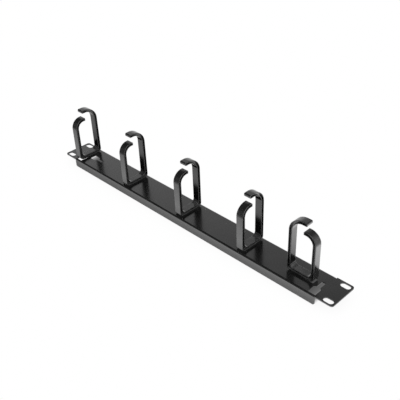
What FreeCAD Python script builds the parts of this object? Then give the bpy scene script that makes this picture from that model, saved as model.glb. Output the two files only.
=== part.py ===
"""Rack cable management panel: one folded sheet that carries five open cable rings.

The panel lies face up on the edges of its two flanges. X runs along it, from ear to ear, Y from its
front flange to its rear flange, and Z up through the face. The origin is under the panel's middle.
"""
import FreeCAD, Part
import math
import os
import re
import Sketcher

# Driving dimensions, in millimetres.
SIZES = {
    # Panel, one folded sheet
    "panel_length": 482.6,
    "panel_width": 42.4,
    "sheet_thickness": 1.5,
    "flange_depth": 12.4,
    "flange_corner": 2.0,
    "bend_inside": 0.8,
    "ear_length": 23.5,
    "ear_corner": 3.5,
    # Rack slots in the two ears, placed from the panel's ends and long edges
    "rack_inset_long": 8.75,
    "rack_inset_wide": 5.325,
    "rack_slot_length": 12.7,
    "rack_slot_width": 7.2,
    # Places of the first crosswise ring and of the turned ring, from the panel's ends
    "first_inset": 29.3,
    "turned_inset": 56.3,
    # Bottle slots, each measured from the middle of the ring that it holds
    "slot_reach": 18.8,
    "head_length": 10.8,
    "head_width": 10.0,
    "shoulder_length": 2.6,
    "neck_length": 10.2,
    "neck_width": 4.5,
    # Cable ring, an open strip with a tall rear arm that hooks over a lower front arm
    "ring_width": 37.4,
    "front_height": 63.0,
    "mouth_gap": 7.6,
    "strip_width": 9.7,
    "arm_thickness": 4.4,
    "base_thickness": 4.9,
    "rear_radius": 18.6,
    "front_radius": 14.0,
    "base_radius": 5.4,
    "base_inside": 5.4,
    "rear_hook": 5.7,
    "front_hook": 3.3,
    "tip_radius": 1.4,
    # Groove that cores out each flank of the strip
    "groove_depth": 3.0,
    "lip": 0.8,
    "base_lip": 1.5,
    "end_wall": 1.0,
    # Foot under the ring: a web in the slot's neck and a plate below the sheet
    "foot_clearance": 0.15,
    "web_length": 8.0,
    "plate_thickness": 1.6,
}
RING_COUNT = 5
MIDDLE_RING = (RING_COUNT + 1) // 2
FRONT_TO_RIGHT = 90.0
SAME_PLACE = 1e-6

# Sizes and places that follow from the driving dimensions
FLANGE_END = "(panel_length / 2 - ear_length)"
RACK_ALONG = "(panel_length / 2 - rack_inset_long)"
RACK_ACROSS = "(panel_width / 2 - rack_inset_wide)"
RING_PITCH = f"((panel_length - first_inset * 2) / {RING_COUNT - 1})"
TURNED_PLACE = "(panel_length / 2 - turned_inset)"
NECK_END = "(head_length + shoulder_length + neck_length - slot_reach)"
REAR_HEIGHT = "(front_height + mouth_gap + arm_thickness)"

doc = FreeCAD.newDocument("cable_management_panel")
sheet = doc.addObject("Spreadsheet::Sheet", "sizes")
for row, (name, size) in enumerate(SIZES.items(), start=1):
    sheet.set(f"A{row}", name)
    sheet.set(f"B{row}", str(size))
    sheet.setAlias(f"B{row}", name)
doc.recompute()


def formula(text):
    """The text with each size's name turned into a reference to its cell."""
    return re.sub(r"[a-z]\w*", lambda word: f"{sheet.Name}.{word.group()}", text)


def value(text):
    """What a formula comes to now."""
    return float(sheet.evalExpression(formula(text)))


def origin_feature(body, role):
    """A body's own origin plane or axis."""
    return next(item for item in body.Origin.OriginFeatures if item.Role == role)


def new_sketch(body, name, plane, offset="0"):
    """An empty sketch on one of the body's origin planes, moved along its normal."""
    sketch = body.newObject("Sketcher::SketchObject", name)
    sketch.AttachmentSupport = [(origin_feature(body, plane), "")]
    sketch.MapMode = "FlatFace"
    sketch.setExpression("AttachmentOffset.Base.z", formula(offset))
    return sketch


def dimension(sketch, kind, *elements_and_text):
    """A driving constraint on some elements of a sketch, bound to a formula."""
    *elements, text = elements_and_text
    index = sketch.addConstraint(Sketcher.Constraint(kind, *elements, value(text)))
    sketch.setExpression(f"Constraints[{index}]", formula(text))


def constrain(sketch, kind, *elements):
    """A constraint without a size."""
    sketch.addConstraint(Sketcher.Constraint(kind, *elements))


def pin(sketch, element, point, across, up):
    """Holds one point of an element at a place given by two formulas."""
    dimension(sketch, "DistanceX", -1, 1, element, point, across)
    dimension(sketch, "DistanceY", -1, 1, element, point, up)


def polygon(sketch, corners):
    """A closed outline of straight sides. Each corner is a pair of formulas."""
    points = [FreeCAD.Vector(value(across), value(up), 0) for across, up in corners]
    sides = []
    for here, there in zip(points, points[1:] + points[:1]):
        sides.append(sketch.addGeometry(Part.LineSegment(here, there), False))
    for side, following, (across, up) in zip(sides, sides[1:] + sides[:1], corners):
        constrain(sketch, "Coincident", side, 2, following, 1)
        pin(sketch, side, 1, across, up)


def rounded_outline(sketch, corners):
    """A closed outline of level and upright sides. Each corner is (across, up, radius) in formulas."""
    points = [FreeCAD.Vector(value(across), value(up), 0) for across, up, _ in corners]
    radii = [value(radius) for _, _, radius in corners]
    following = points[1:] + points[:1]
    headings = [(there - here).normalize() for here, there in zip(points, following)]
    sides = []
    for k, heading in enumerate(headings):
        start = points[k] + heading * radii[k]
        end = following[k] - heading * radii[(k + 1) % len(corners)]
        side = sketch.addGeometry(Part.LineSegment(start, end), False)
        across, up, _ = corners[k]
        if abs(heading.x) > abs(heading.y):
            constrain(sketch, "Horizontal", side)
            dimension(sketch, "DistanceY", -1, 1, side, 1, up)
        else:
            constrain(sketch, "Vertical", side)
            dimension(sketch, "DistanceX", -1, 1, side, 1, across)
        sides.append(side)
    for k, (_, _, radius) in enumerate(corners):
        round_corner(sketch, sides[k - 1], sides[k], points[k], headings[k - 1], headings[k], radius)


def round_corner(sketch, side_in, side_out, corner, heading_in, heading_out, radius):
    """Joins two sides by an arc that is tangent to both, or at a sharp corner where the radius is zero."""
    size = value(radius)
    if size == 0:
        constrain(sketch, "Coincident", side_in, 2, side_out, 1)
        return
    centre = corner + (heading_out - heading_in) * size
    turns_left = heading_in.x * heading_out.y > heading_in.y * heading_out.x
    from_centre = -heading_out if turns_left else heading_in
    start = math.atan2(from_centre.y, from_centre.x)
    circle = Part.Circle(centre, FreeCAD.Vector(0, 0, 1), size)
    arc = sketch.addGeometry(Part.ArcOfCircle(circle, start, start + math.pi / 2), False)
    point_in, point_out = (1, 2) if turns_left else (2, 1)
    constrain(sketch, "Tangent", side_in, 2, arc, point_in)
    constrain(sketch, "Tangent", arc, point_out, side_out, 1)
    dimension(sketch, "Radius", arc, radius)


def round_ended_slot(sketch, across, up, length, width):
    """A slot with round ends that runs along the sketch's X axis."""
    radius = f"({width}) / 2"
    reach = f"(({length}) - ({width})) / 2"
    ends = []
    for sign, start in (("+", -math.pi / 2), ("-", math.pi / 2)):
        centre = FreeCAD.Vector(value(f"{across} {sign} {reach}"), value(up), 0)
        circle = Part.Circle(centre, FreeCAD.Vector(0, 0, 1), value(radius))
        ends.append(sketch.addGeometry(Part.ArcOfCircle(circle, start, start + math.pi), False))
    right, left = ends
    upper = Part.LineSegment(sketch.getPoint(right, 2), sketch.getPoint(left, 1))
    lower = Part.LineSegment(sketch.getPoint(left, 2), sketch.getPoint(right, 1))
    top = sketch.addGeometry(upper, False)
    bottom = sketch.addGeometry(lower, False)
    for before, after in ((right, top), (top, left), (left, bottom), (bottom, right)):
        constrain(sketch, "Tangent", before, 2, after, 1)
    pin(sketch, right, 3, f"{across} + {reach}", up)
    pin(sketch, left, 3, f"{across} - {reach}", up)
    constrain(sketch, "Equal", right, left)
    dimension(sketch, "Radius", right, radius)


def pad(body, name, sketch, length, both_ways=False, downwards=False):
    """Material along a sketch's normal."""
    feature = body.newObject("PartDesign::Pad", name)
    feature.Profile = sketch
    feature.SideType = "Symmetric" if both_ways else "One side"
    feature.Reversed = downwards
    feature.setExpression("Length", formula(length))
    doc.recompute()
    return feature


def pocket(body, name, sketch, depth=None):
    """A cut against a sketch's normal, right through where no depth is given."""
    before = body.Shape.Volume
    feature = body.newObject("PartDesign::Pocket", name)
    feature.Profile = sketch
    if depth is None:
        feature.Type = "ThroughAll"
    else:
        feature.setExpression("Length", formula(depth))
    doc.recompute()
    if not feature.Shape.Volume < before:
        raise RuntimeError(f"{name} cuts nothing")
    return feature


def mirror_across(body, name, originals):
    """The same features on the other side of the body's middle."""
    feature = body.newObject("PartDesign::Mirrored", name)
    feature.Originals = originals
    feature.MirrorPlane = (origin_feature(body, "YZ_Plane"), [""])
    body.Tip = feature
    doc.recompute()
    return feature


def round_edges(body, name, base, edges, radius):
    """Rounds the named edges of a feature."""
    feature = body.newObject("PartDesign::Fillet", name)
    feature.Base = (base, edges)
    feature.setExpression("Radius", formula(radius))
    doc.recompute()


def at_end(box, axis, place):
    """Whether a box is flat and lies at plus or minus a place on an axis."""
    low, high = getattr(box, f"{axis}Min"), getattr(box, f"{axis}Max")
    return high - low < SAME_PLACE and abs(abs(low) - place) < SAME_PLACE


def bottle_slot(sketch, along, centre):
    """A bottle-shaped slot with its head towards the front, or turned with its head towards the right."""
    head_end = "-slot_reach"
    shoulder = "head_length - slot_reach"
    neck = "head_length + shoulder_length - slot_reach"
    half_head, half_neck = "head_width / 2", "neck_width / 2"
    profile = [
        (f"-{half_head}", head_end),
        (half_head, head_end),
        (half_head, shoulder),
        (half_neck, neck),
        (half_neck, NECK_END),
        (f"-{half_neck}", NECK_END),
        (f"-{half_neck}", neck),
        (f"-{half_head}", shoulder),
    ]
    if along == "Y":
        polygon(sketch, [(f"{centre} + ({x})", y) for x, y in profile])
    else:
        polygon(sketch, [(f"{centre} - ({y})", x) for x, y in profile])


def make_panel():
    """The folded sheet: a face with two flanges, an ear at each end, rack slots and bottle slots."""
    body = doc.addObject("PartDesign::Body", "panel")
    half, depth, sheet_in = "panel_width / 2", "flange_depth", "sheet_thickness"
    bend_outside = "bend_inside + sheet_thickness"

    section = new_sketch(body, "channel_section", "YZ_Plane")
    rounded_outline(section, [
        (f"-{half}", "0", "0"),
        (f"-{half} + {sheet_in}", "0", "0"),
        (f"-{half} + {sheet_in}", f"{depth} - {sheet_in}", "bend_inside"),
        (f"{half} - {sheet_in}", f"{depth} - {sheet_in}", "bend_inside"),
        (f"{half} - {sheet_in}", "0", "0"),
        (half, "0", "0"),
        (half, depth, bend_outside),
        (f"-{half}", depth, bend_outside),
    ])
    channel = pad(body, "channel", section, f"{FLANGE_END} * 2", both_ways=True)
    corners = [
        f"Edge{number}" for number, edge in enumerate(channel.Shape.Edges, start=1)
        if at_end(edge.BoundBox, "X", value(FLANGE_END)) and at_end(edge.BoundBox, "Z", 0)
    ]
    round_edges(body, "flange_corners", channel, corners, "flange_corner")

    ear_outline = new_sketch(body, "ear_outline", "XY_Plane", f"{depth} - {sheet_in}")
    rounded_outline(ear_outline, [
        (FLANGE_END, f"-{half}", "0"),
        ("panel_length / 2", f"-{half}", "ear_corner"),
        ("panel_length / 2", half, "ear_corner"),
        (FLANGE_END, half, "0"),
    ])
    ear = pad(body, "ear", ear_outline, sheet_in)
    rack_outline = new_sketch(body, "rack_slot_outline", "XY_Plane", depth)
    for sign in ("-", ""):
        round_ended_slot(
            rack_outline, RACK_ALONG, f"{sign}{RACK_ACROSS}", "rack_slot_length", "rack_slot_width")
    rack_slots = pocket(body, "rack_slots", rack_outline)
    mirror_across(body, "other_ear", [ear, rack_slots])

    cross_outline = new_sketch(body, "cross_slot_outline", "XY_Plane", depth)
    bottle_slot(cross_outline, "Y", f"{RING_PITCH} * {1 - MIDDLE_RING}")
    cross_slot = pocket(body, "cross_slot", cross_outline)
    row_of_slots = body.newObject("PartDesign::LinearPattern", "cross_slots")
    row_of_slots.Originals = [cross_slot]
    row_of_slots.Direction = (origin_feature(body, "X_Axis"), [""])
    row_of_slots.Mode = "Spacing"
    row_of_slots.setExpression("Offset", formula(RING_PITCH))
    row_of_slots.Occurrences = RING_COUNT
    body.Tip = row_of_slots
    doc.recompute()

    long_outline = new_sketch(body, "long_slot_outline", "XY_Plane", depth)
    bottle_slot(long_outline, "X", TURNED_PLACE)
    long_slot = pocket(body, "long_slot", long_outline)
    mirror_across(body, "other_long_slot", [long_slot])
    return body


def ring_outline(sketch, lip, base_lip, end_wall, tip_radius):
    """The ring's open strip seen from its flank, drawn in by a lip all round."""
    left, right = f"-ring_width / 2 + {lip}", f"ring_width / 2 - {lip}"
    left_in = f"-ring_width / 2 + arm_thickness - {lip}"
    right_in = f"ring_width / 2 - arm_thickness + {lip}"
    low, low_in = base_lip, f"base_thickness - {lip}"
    front_top, front_under = f"front_height - {lip}", f"front_height - arm_thickness + {lip}"
    rear_top, rear_under = f"{REAR_HEIGHT} - {lip}", f"{REAR_HEIGHT} - arm_thickness + {lip}"
    front_end = f"-ring_width / 2 + front_radius + front_hook - {end_wall}"
    rear_end = f"ring_width / 2 - rear_radius - rear_hook + {end_wall}"
    base_outer = f"base_radius - {lip}"
    base_inner = f"base_inside + {lip}"
    rounded_outline(sketch, [
        (front_end, front_top, tip_radius),
        (left, front_top, f"front_radius - {lip}"),
        (left, low, base_outer),
        (right, low, base_outer),
        (right, rear_top, f"rear_radius - {lip}"),
        (rear_end, rear_top, tip_radius),
        (rear_end, rear_under, tip_radius),
        (right_in, rear_under, f"rear_radius - arm_thickness + {lip}"),
        (right_in, low_in, base_inner),
        (left_in, low_in, base_inner),
        (left_in, front_under, f"front_radius - arm_thickness + {lip}"),
        (front_end, front_under, "0"),
    ])


def level_rectangle(sketch, width, length, far_end):
    """A rectangle about the sketch's Y axis that reaches up to a far end."""
    polygon(sketch, [
        (f"-({width}) / 2", f"{far_end} - ({length})"),
        (f"({width}) / 2", f"{far_end} - ({length})"),
        (f"({width}) / 2", far_end),
        (f"-({width}) / 2", far_end),
    ])


def make_ring(number):
    """One moulded ring, standing on the sheet's face, with its foot through the sheet."""
    body = doc.addObject("PartDesign::Body", f"cable_ring_{number}")

    outline = new_sketch(body, f"strip_outline_{number}", "YZ_Plane")
    ring_outline(outline, "0", "0", "0", "tip_radius")
    pad(body, f"strip_{number}", outline, "strip_width", both_ways=True)

    groove_outline = new_sketch(body, f"groove_outline_{number}", "YZ_Plane", "strip_width / 2")
    ring_outline(groove_outline, "lip", "base_lip", "end_wall", "0")
    groove = pocket(body, f"groove_{number}", groove_outline, "groove_depth")
    mirror_across(body, f"other_groove_{number}", [groove])

    web_end = f"{NECK_END} - foot_clearance"
    web_outline = new_sketch(body, f"web_outline_{number}", "XY_Plane")
    level_rectangle(web_outline, "neck_width - foot_clearance * 2", "web_length", web_end)
    pad(body, f"web_{number}", web_outline, "sheet_thickness + foot_clearance", downwards=True)

    plate_width, plate_length = "head_width - foot_clearance * 2", "head_length - foot_clearance * 2"
    plate_end = f"{web_end} - web_length / 2 + ({plate_length}) / 2"
    plate_outline = new_sketch(
        body, f"plate_outline_{number}", "XY_Plane", "-sheet_thickness - foot_clearance")
    level_rectangle(plate_outline, plate_width, plate_length, plate_end)
    pad(body, f"plate_{number}", plate_outline, "plate_thickness", downwards=True)
    return body


def place_ring(body, across, turn):
    """Stands a ring on the face, at a place along the panel."""
    body.Placement = FreeCAD.Placement(
        FreeCAD.Vector(value(across), 0, value("flange_depth")),
        FreeCAD.Rotation(FreeCAD.Vector(0, 0, 1), turn))
    body.setExpression("Placement.Base.x", formula(across))
    body.setExpression("Placement.Base.z", formula("flange_depth"))


subparts = [make_panel()]
for number in range(1, RING_COUNT + 1):
    ring = make_ring(number)
    if number < RING_COUNT:
        place_ring(ring, f"{RING_PITCH} * {number - MIDDLE_RING}", 0)
    else:
        place_ring(ring, TURNED_PLACE, FRONT_TO_RIGHT)
    subparts.append(ring)
doc.recompute()

for item in doc.Objects:
    if {"Invalid", "Error"} & set(item.State):
        raise RuntimeError(f"{item.Label} failed: {item.State}")
for body in subparts:
    if body.Shape.isNull() or not body.Shape.isValid() or len(body.Shape.Solids) != 1:
        raise RuntimeError(f"{body.Label} is not one sound solid")

os.makedirs("parts", exist_ok=True)
for body in subparts:
    body.Shape.exportStep(f"parts/{body.Label}.step")
    print(f"{body.Label}: {body.Shape.Volume:.1f} mm3")
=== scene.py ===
import math
import bmesh
import bpy
from mathutils import Matrix, Vector


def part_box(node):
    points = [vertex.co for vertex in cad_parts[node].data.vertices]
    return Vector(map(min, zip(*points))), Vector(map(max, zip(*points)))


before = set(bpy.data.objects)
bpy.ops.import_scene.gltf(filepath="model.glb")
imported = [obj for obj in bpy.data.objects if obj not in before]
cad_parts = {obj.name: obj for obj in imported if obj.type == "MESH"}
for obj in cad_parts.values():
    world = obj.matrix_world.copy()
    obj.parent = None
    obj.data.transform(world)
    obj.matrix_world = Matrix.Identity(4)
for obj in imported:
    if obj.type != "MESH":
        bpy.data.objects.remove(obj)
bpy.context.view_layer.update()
panel_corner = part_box("panel")[1]
RING_NODES = [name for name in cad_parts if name.startswith("cable_ring")]

# Lengths are in metres and angles in degrees, apart from names that say otherwise.
# Tones are linear greys, and a level of 1 is white.
# A span is the stretch over which something changes, and a stop is a place from 0 to 1 and its level.
RISING = (0.0, 1.0)
FALLING = (1.0, 0.0)
WHITE = (1.0, 1.0, 1.0, 1.0)

# The camera looks at the middle of the panel's face
PHOTO_SIDE_PX = 400
FOCAL_PX = 666.3
SENSOR_MM = 36.0
CAMERA_AZIMUTH = 46.49
CAMERA_ELEVATION = 34.39
CAMERA_ROLL = -2.42
CAMERA_DISTANCE = 0.8633
CAMERA_TO_RIGHT = 0.0148
CAMERA_UPWARDS = 0.0129

# Rounding of the edges: by modifiers on the rings, and in shading on the rings and the panel
RING_EDGE = 0.00024
RING_EDGE_STEPS = 3
RING_SOFT_EDGE = 0.0008
PANEL_SOFT_EDGE = 0.00025
SOFT_EDGE_SAMPLES = 6
SAME_POINT = 1e-6
FLAT_ANGLE = 0.5
SHARP_ANGLE = 35.0

# Noise: its scale is in cells per metre, and most of its values lie within the span
NOISE_SPAN = (0.3, 0.7)
FINE_DETAIL = 2.0
MOTTLE_DETAIL = 3.0

# The panel's powder coat
PEEL_SCALE = 900.0
PEEL_DEPTH = 0.00003
PEEL_STRENGTH = 0.08
PAINT_MOTTLE_SCALE = 60.0
PAINT_TONES = (0.004, 0.008)
PAINT_GLOSS_SCALE = 700.0
PAINT_ROUGHNESS = (0.17, 0.23)
PAINT_IOR = 1.6
PAINT_SPECULAR = 1.0

# The rings' plastic: pairs go from the inner faces to the outer ones; the darker tone of the inner faces is
# painted shade
GRAIN_SCALE = 2600.0
GRAIN_DEPTH = 0.00001
GRAIN_STRENGTH = 0.2
RING_MOTTLE_SCALE = 150.0
RING_MOTTLE = (0.7, 1.3)
RING_GLOSS_SCALE = 500.0
RING_ROUGHNESS = (0.12, 0.17)
RING_SHADED_TO_OWN_TONES = (0.0015, 0.010)
RING_SPECULAR = (0.5, 0.95)
# The upward faces low on a ring, the top of its base, are painted lighter: painted light
BASE_TOP_PAINTED_LIGHT_TONE = 0.030

# Where the plastic changes: by how far a face looks outwards or up, and by the share of a ring's height
RING_MIDDLE = (0.5, 0.5, 0.5)
OUTWARD_SPAN = (-0.1, 0.1)
UPWARD_SPAN = (0.4, 0.8)
BASE_SPAN = (0.2, 0.3)

# The studio: a round white sweep, floor and wall in one
FLOOR_RADIUS = 5.0
WALL_HEIGHT = 2.2
SWEEP_RADIUS = 1.2
SWEEP_STEPS = 16
SWEEP_SIDES = 96
SWEEP_COLOUR = (0.8, 0.8, 0.8, 1.0)

# The soft shadow where the part stands on the floor
CONTACT_REACH = 0.06
CONTACT_SAMPLES = 8
CONTACT_SPAN = (0.3, 0.9)
CONTACT_LEVELS = (0.94, 1.0)

# The dark channel between the flanges: light comes in at its two ends, and less far at the left one
SHEET = 0.0015
EAR_WIDTH = 0.0235
CHANNEL_END = panel_corner.x - EAR_WIDTH
CHANNEL_SIDE = panel_corner.y - SHEET
CHANNEL_BLUR = 0.0005
DAYLIGHT_REACH = 0.040
DAYLIGHT_STOPS = [(0.0, 1.0), (0.1, 0.4), (0.25, 0.15), (0.4, 0.11), (1.0, 0.01)]
LEFT_END_SPAN = (-0.2, 0.2)
LEFT_END_SHIFTS = (0.07, 0.0)

# The table in front of the panel, as reflections show it: from far to near, at the flange and to the right
FRONT_SPAN = (-0.24, -0.04)
FRONT_STOPS = [(0.0, 0.20), (0.45, 0.44), (0.7, 0.86), (0.78, 1.10), (0.86, 1.36), (1.0, 1.56)]
FLANGE_SPAN = (-0.045, -0.024)
FLANGE_LEVELS = (1.0, 0.48)
TO_RIGHT_SPAN = (-0.25, 0.25)
TO_RIGHT_LEVELS = (0.78, 1.22)

# The table behind the panel, as reflections show it: a pool of light, and the far right
POOL_PLACE = (0.225, 0.085, 0.0)
POOL_SPAN = (0.0, 0.10)
POOL_LEVELS = (2.7, 1.0)
FAR_RIGHT_SPAN = (0.25, 0.45)
FAR_RIGHT_LEVELS = (1.0, 0.75)
BEHIND_SPAN = (-0.03, 0.04)

# The room, by direction: from level to overhead behind and in front, from front to rear, and to the right
ROOM_REAR_STOPS = [
    (0.0, 1.2), (0.30, 0.98), (0.45, 0.80), (0.55, 0.67), (0.64, 0.49), (0.72, 0.15), (0.82, 0.04)]
ROOM_FRONT_SPAN = (0.3, 0.8)
ROOM_FRONT_LEVELS = (0.14, 0.03)
ROOM_DEPTH_SPAN = (0.1, 0.45)
ROOM_SIDE_SPAN = (0.1, 0.7)
ROOM_SIDE_LEVELS = (0.80, 0.64)

# The lamps: name, place, width and height, power in watts, and whether reflections show it
SOFTBOXES = [
    ("fill_softbox", (1.05, -0.42, 0.65), (1.3, 0.6), 17.0, False),
    ("key_softbox", (0.55, -0.60, 1.00), (1.6, 1.2), 11.0, True),
]


class Nodes:
    """A short way to write a node tree."""

    def __init__(self, tree):
        self.tree = tree
        tree.nodes.clear()

    def add(self, kind, settings=None, **values):
        """A node with its settings, and its inputs set to a value or linked to another node's output."""
        node = self.tree.nodes.new(kind)
        for key, setting in (settings or {}).items():
            setattr(node, key, setting)
        for key, content in values.items():
            self.feed(node.inputs[key.replace("_", " ")], content)
        return node

    def feed(self, socket, content):
        """Sets an input to a value, or links it to another node's output."""
        if isinstance(content, bpy.types.NodeSocket):
            self.tree.links.new(content, socket)
        else:
            socket.default_value = content

    def combine(self, kind, operation, first, second):
        """The outputs of one step of arithmetic."""
        node = self.add(kind, {"operation": operation})
        self.feed(node.inputs[0], first)
        self.feed(node.inputs[1], second)
        return node.outputs

    def math(self, operation, first, second):
        """One step of arithmetic on two numbers."""
        return self.combine("ShaderNodeMath", operation, first, second)["Value"]

    def magnitude(self, number):
        """A number without its sign."""
        return self.add("ShaderNodeMath", {"operation": "ABSOLUTE"}, Value=number).outputs["Value"]

    def vectors(self, operation, first, second):
        """One step of arithmetic on two vectors: its outputs, a vector and a number."""
        return self.combine("ShaderNodeVectorMath", operation, first, second)

    def axes(self, vector):
        """A vector's three numbers, by the names of their axes."""
        return self.add("ShaderNodeSeparateXYZ", Vector=vector).outputs

    def spread(self, amount, span, levels, smooth=False):
        """A number brought from a span to a pair of levels, and held between them."""
        kind = "SMOOTHSTEP" if smooth else "LINEAR"
        node = self.add(
            "ShaderNodeMapRange", {"interpolation_type": kind},
            Value=amount, From_Min=span[0], From_Max=span[1], To_Min=levels[0], To_Max=levels[1])
        return node.outputs["Result"]

    def ramp(self, amount, stops):
        """A level read off a line through some stops."""
        node = self.add("ShaderNodeValToRGB", Fac=amount)
        stops_made = node.color_ramp.elements
        while len(stops_made) < len(stops):
            stops_made.new(1.0)
        for stop, (place, level) in zip(stops_made, stops):
            stop.position = place
            stop.color = (level, level, level, 1.0)
        return node.outputs["Color"]

    def blend(self, amount, first, second):
        """A number between two others."""
        return self.add("ShaderNodeMix", Factor=amount, A=first, B=second).outputs["Result"]

    def grey(self, level):
        """A neutral colour."""
        return self.add("ShaderNodeCombineColor", Red=level, Green=level, Blue=level).outputs["Color"]

    def noise(self, scale, detail, levels):
        """A noise in object space, between two levels."""
        place = self.add("ShaderNodeTexCoord").outputs["Object"]
        grain = self.add("ShaderNodeTexNoise", Vector=place, Scale=scale, Detail=detail)
        return self.spread(grain.outputs["Fac"], NOISE_SPAN, levels)

    def relief(self, scale, depth, strength, edge):
        """The normal of a finely uneven surface with softened edges."""
        soft_edge = self.add("ShaderNodeBevel", {"samples": SOFT_EDGE_SAMPLES}, Radius=edge)
        bump = self.add(
            "ShaderNodeBump", Height=self.noise(scale, FINE_DETAIL, RISING), Distance=depth,
            Strength=strength, Normal=soft_edge.outputs["Normal"])
        return bump.outputs["Normal"]


def new_material(name):
    """An empty node material and a writer for its tree."""
    material = bpy.data.materials.new(name)
    material.use_nodes = True
    return material, Nodes(material.node_tree)


def panel_paint():
    """Black powder coat: satin, with the faint orange peel of a baked powder and softened sheet edges."""
    material, nodes = new_material("panel_paint")
    shader = nodes.add(
        "ShaderNodeBsdfPrincipled",
        Base_Color=nodes.grey(nodes.noise(PAINT_MOTTLE_SCALE, MOTTLE_DETAIL, PAINT_TONES)),
        Roughness=nodes.noise(PAINT_GLOSS_SCALE, FINE_DETAIL, PAINT_ROUGHNESS),
        IOR=PAINT_IOR,
        Specular_IOR_Level=PAINT_SPECULAR,
        Normal=nodes.relief(PEEL_SCALE, PEEL_DEPTH, PEEL_STRENGTH, PANEL_SOFT_EDGE))
    nodes.add("ShaderNodeOutputMaterial", Surface=shader.outputs["BSDF"])
    return material


def ring_plastic():
    """Black moulded plastic: glossy outside and duller on the inner faces, whose darker colour is painted
    shade; the top of the base is painted lighter, as painted light.
    """
    material, nodes = new_material("ring_plastic")
    place = nodes.add("ShaderNodeTexCoord").outputs
    from_middle = nodes.vectors("SUBTRACT", place["Generated"], RING_MIDDLE)["Vector"]
    facing_out = nodes.vectors("DOT_PRODUCT", place["Normal"], from_middle)["Value"]
    outwards = nodes.spread(facing_out, OUTWARD_SPAN, RISING)
    upwards = nodes.spread(nodes.axes(place["Normal"])["Z"], UPWARD_SPAN, RISING)
    outside = nodes.math("MAXIMUM", outwards, upwards)
    low_down = nodes.spread(nodes.axes(place["Generated"])["Z"], BASE_SPAN, FALLING)
    painted_light_on_base_top = nodes.math("MULTIPLY", low_down, upwards)
    # Painted shade darkens faces turned towards the ring's middle and not up, and painted light lightens the
    # upward faces low on a ring
    tone = nodes.blend(painted_light_on_base_top, nodes.blend(outside, *RING_SHADED_TO_OWN_TONES), BASE_TOP_PAINTED_LIGHT_TONE)
    mottle = nodes.noise(RING_MOTTLE_SCALE, MOTTLE_DETAIL, RING_MOTTLE)
    shader = nodes.add(
        "ShaderNodeBsdfPrincipled",
        Base_Color=nodes.grey(nodes.math("MULTIPLY", mottle, tone)),
        Roughness=nodes.noise(RING_GLOSS_SCALE, FINE_DETAIL, RING_ROUGHNESS),
        Specular_IOR_Level=nodes.blend(outside, *RING_SPECULAR),
        Normal=nodes.relief(GRAIN_SCALE, GRAIN_DEPTH, GRAIN_STRENGTH, RING_SOFT_EDGE))
    nodes.add("ShaderNodeOutputMaterial", Surface=shader.outputs["BSDF"])
    return material


def dress(node, material):
    """Gives a CAD node its finish."""
    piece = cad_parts[node]
    piece.data.materials.clear()
    piece.data.materials.append(material)
    return piece


def round_edges(piece, width):
    """Rounds a CAD node's sharp edges by modifiers, and lets flat faces stay flat."""
    weld = piece.modifiers.new("weld", "WELD")
    weld.merge_threshold = SAME_POINT
    flat = piece.modifiers.new("flat_faces", "DECIMATE")
    flat.decimate_type = "DISSOLVE"
    flat.angle_limit = math.radians(FLAT_ANGLE)
    bevel = piece.modifiers.new("round_edges", "BEVEL")
    bevel.width = width
    bevel.segments = RING_EDGE_STEPS
    bevel.limit_method = "ANGLE"
    bevel.angle_limit = math.radians(SHARP_ANGLE)
    bevel.use_clamp_overlap = False
    bevel.loop_slide = False
    normals = piece.modifiers.new("flat_normals", "WEIGHTED_NORMAL")
    normals.keep_sharp = False
    for face in piece.data.polygons:
        face.use_smooth = True


def floor_shadow(nodes, axes):
    """The light that reaches the floor: little in the channel, and slightly less close to the part."""
    occlusion = nodes.add("ShaderNodeAmbientOcclusion", {"samples": CONTACT_SAMPLES}, Distance=CONTACT_REACH)
    contact = nodes.spread(occlusion.outputs["AO"], CONTACT_SPAN, CONTACT_LEVELS)
    from_end = nodes.math("SUBTRACT", CHANNEL_END, nodes.magnitude(axes["X"]))
    inwards = nodes.math("DIVIDE", from_end, DAYLIGHT_REACH)
    left_end = nodes.spread(axes["X"], LEFT_END_SPAN, LEFT_END_SHIFTS)
    daylight = nodes.ramp(nodes.math("ADD", inwards, left_end), DAYLIGHT_STOPS)
    side_span = (CHANNEL_SIDE - CHANNEL_BLUR, CHANNEL_SIDE + CHANNEL_BLUR)
    covered = nodes.spread(nodes.magnitude(axes["Y"]), side_span, FALLING)
    return nodes.math("MULTIPLY", contact, nodes.blend(covered, 1.0, daylight))


def table_level(nodes, place, axes):
    """The table's level in reflections: brighter towards the panel's front, with a pool of light behind."""
    near = nodes.ramp(nodes.spread(axes["Y"], FRONT_SPAN, RISING), FRONT_STOPS)
    at_flange = nodes.spread(axes["Y"], FLANGE_SPAN, FLANGE_LEVELS)
    to_right = nodes.spread(axes["X"], TO_RIGHT_SPAN, TO_RIGHT_LEVELS)
    front = nodes.math("MULTIPLY", nodes.math("MULTIPLY", near, at_flange), to_right)
    from_pool = nodes.vectors("DISTANCE", place, POOL_PLACE)["Value"]
    pool = nodes.spread(from_pool, POOL_SPAN, POOL_LEVELS, smooth=True)
    far_right = nodes.spread(axes["X"], FAR_RIGHT_SPAN, FAR_RIGHT_LEVELS)
    rear = nodes.math("MULTIPLY", pool, far_right)
    return nodes.blend(nodes.spread(axes["Y"], BEHIND_SPAN, RISING), front, rear)


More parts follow.
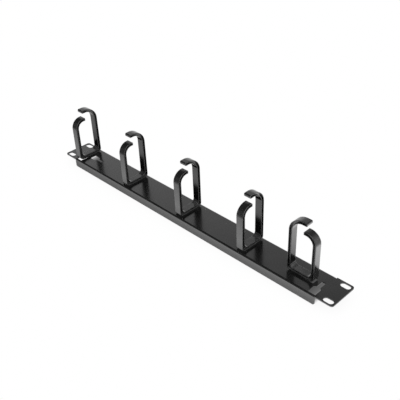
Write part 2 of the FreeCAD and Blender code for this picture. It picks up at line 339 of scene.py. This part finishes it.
def sweep_material():
    """White to the camera, lit as a table in reflections, and dark where the part shuts the light out."""
    material, nodes = new_material("white_sweep")
    place = nodes.add("ShaderNodeTexCoord").outputs["Object"]
    axes = nodes.axes(place)
    rays = nodes.add("ShaderNodeLightPath").outputs
    reflected = nodes.math("MAXIMUM", rays["Is Glossy Ray"], rays["Is Transmission Ray"])
    seen = nodes.math("MAXIMUM", rays["Is Camera Ray"], reflected)
    level = nodes.blend(reflected, 1.0, table_level(nodes, place, axes))
    glow = nodes.add(
        "ShaderNodeEmission", Strength=nodes.math("MULTIPLY", floor_shadow(nodes, axes), level))
    matt = nodes.add("ShaderNodeBsdfDiffuse", Color=SWEEP_COLOUR)
    surface = nodes.add("ShaderNodeMixShader", Fac=seen)
    nodes.feed(surface.inputs[1], matt.outputs["BSDF"])
    nodes.feed(surface.inputs[2], glow.outputs["Emission"])
    nodes.add("ShaderNodeOutputMaterial", Surface=surface.outputs["Shader"])
    return material


def white_sweep():
    """The studio's floor and wall, turned from one profile."""
    flat_radius = FLOOR_RADIUS - SWEEP_RADIUS
    profile = [Vector((0, 0, 0)), Vector((flat_radius, 0, 0))]
    for step in range(1, SWEEP_STEPS + 1):
        turn = math.pi / 2 * step / SWEEP_STEPS
        outwards = flat_radius + SWEEP_RADIUS * math.sin(turn)
        upwards = SWEEP_RADIUS * (1 - math.cos(turn))
        profile.append(Vector((outwards, 0, upwards)))
    profile.append(Vector((FLOOR_RADIUS, 0, WALL_HEIGHT)))
    shape = bmesh.new()
    line = [shape.verts.new(point) for point in profile]
    edges = [shape.edges.new(pair) for pair in zip(line, line[1:])]
    bmesh.ops.spin(
        shape, geom=line + edges, axis=(0, 0, 1), cent=(0, 0, 0), angle=math.tau, steps=SWEEP_SIDES,
        use_merge=True)
    bmesh.ops.remove_doubles(shape, verts=shape.verts, dist=SAME_POINT)
    bmesh.ops.recalc_face_normals(shape, faces=shape.faces)
    mesh = bpy.data.meshes.new("white_sweep")
    shape.to_mesh(mesh)
    shape.free()
    mesh.materials.append(sweep_material())
    sweep = bpy.data.objects.new("white_sweep", mesh)
    bpy.context.scene.collection.objects.link(sweep)


def room_light():
    """The room above the sweep: bright behind the part, dim above and in front, white to the camera."""
    world = bpy.data.worlds.new("room")
    bpy.context.scene.world = world
    world.use_nodes = True
    nodes = Nodes(world.node_tree)
    axes = nodes.axes(nodes.add("ShaderNodeTexCoord").outputs["Generated"])
    rear = nodes.ramp(axes["Z"], ROOM_REAR_STOPS)
    front = nodes.spread(axes["Z"], ROOM_FRONT_SPAN, ROOM_FRONT_LEVELS)
    behind = nodes.spread(axes["Y"], ROOM_DEPTH_SPAN, RISING, smooth=True)
    sideways = nodes.spread(axes["X"], ROOM_SIDE_SPAN, ROOM_SIDE_LEVELS)
    level = nodes.math("MULTIPLY", nodes.blend(behind, front, rear), sideways)
    to_camera = nodes.add("ShaderNodeLightPath").outputs["Is Camera Ray"]
    glow = nodes.add("ShaderNodeBackground", Color=WHITE, Strength=nodes.blend(to_camera, level, 1.0))
    nodes.add("ShaderNodeOutputWorld", Surface=glow.outputs["Background"])


def softbox(name, place, size, power, mirrored, aim):
    """A rectangular lamp that looks from a place at a point."""
    lamp = bpy.data.lights.new(name, "AREA")
    lamp.shape = "RECTANGLE"
    lamp.size, lamp.size_y = size
    lamp.energy = power
    box = bpy.data.objects.new(name, lamp)
    box.location = place
    box.rotation_mode = "QUATERNION"
    box.rotation_quaternion = (aim - Vector(place)).to_track_quat("-Z", "Y")
    box.visible_camera = False
    box.visible_glossy = mirrored
    bpy.context.scene.collection.objects.link(box)


def photo_camera(target):
    """The photograph's camera: where it stands and how it is held."""
    azimuth = math.radians(CAMERA_AZIMUTH)
    elevation = math.radians(CAMERA_ELEVATION)
    roll = math.radians(CAMERA_ROLL)
    ahead = Vector((-math.sin(azimuth), math.cos(azimuth), 0))
    level = Vector((math.cos(azimuth), math.sin(azimuth), 0))
    back = Vector((0, 0, math.sin(elevation))) - ahead * math.cos(elevation)
    upright = back.cross(level)
    right = level * math.cos(roll) + upright * math.sin(roll)
    up = upright * math.cos(roll) - level * math.sin(roll)
    lens = bpy.data.cameras.new("photo_camera")
    lens.sensor_width = SENSOR_MM
    lens.lens = FOCAL_PX / PHOTO_SIDE_PX * SENSOR_MM
    camera = bpy.data.objects.new("photo_camera", lens)
    camera.rotation_mode = "QUATERNION"
    camera.rotation_quaternion = Matrix((right, up, back)).transposed().to_quaternion()
    camera.location = target + back * CAMERA_DISTANCE + right * CAMERA_TO_RIGHT + up * CAMERA_UPWARDS
    bpy.context.scene.collection.objects.link(camera)
    bpy.context.scene.camera = camera


# The part
dress("panel", panel_paint())
plastic = ring_plastic()
for ring in RING_NODES:
    round_edges(dress(ring, plastic), RING_EDGE)

# The studio
white_sweep()
room_light()
middle = Vector((0, 0, panel_corner.z))
for name, place, size, power, mirrored in SOFTBOXES:
    softbox(name, place, size, power, mirrored, middle)
photo_camera(middle)
bpy.context.scene.view_settings.view_transform = "Standard"
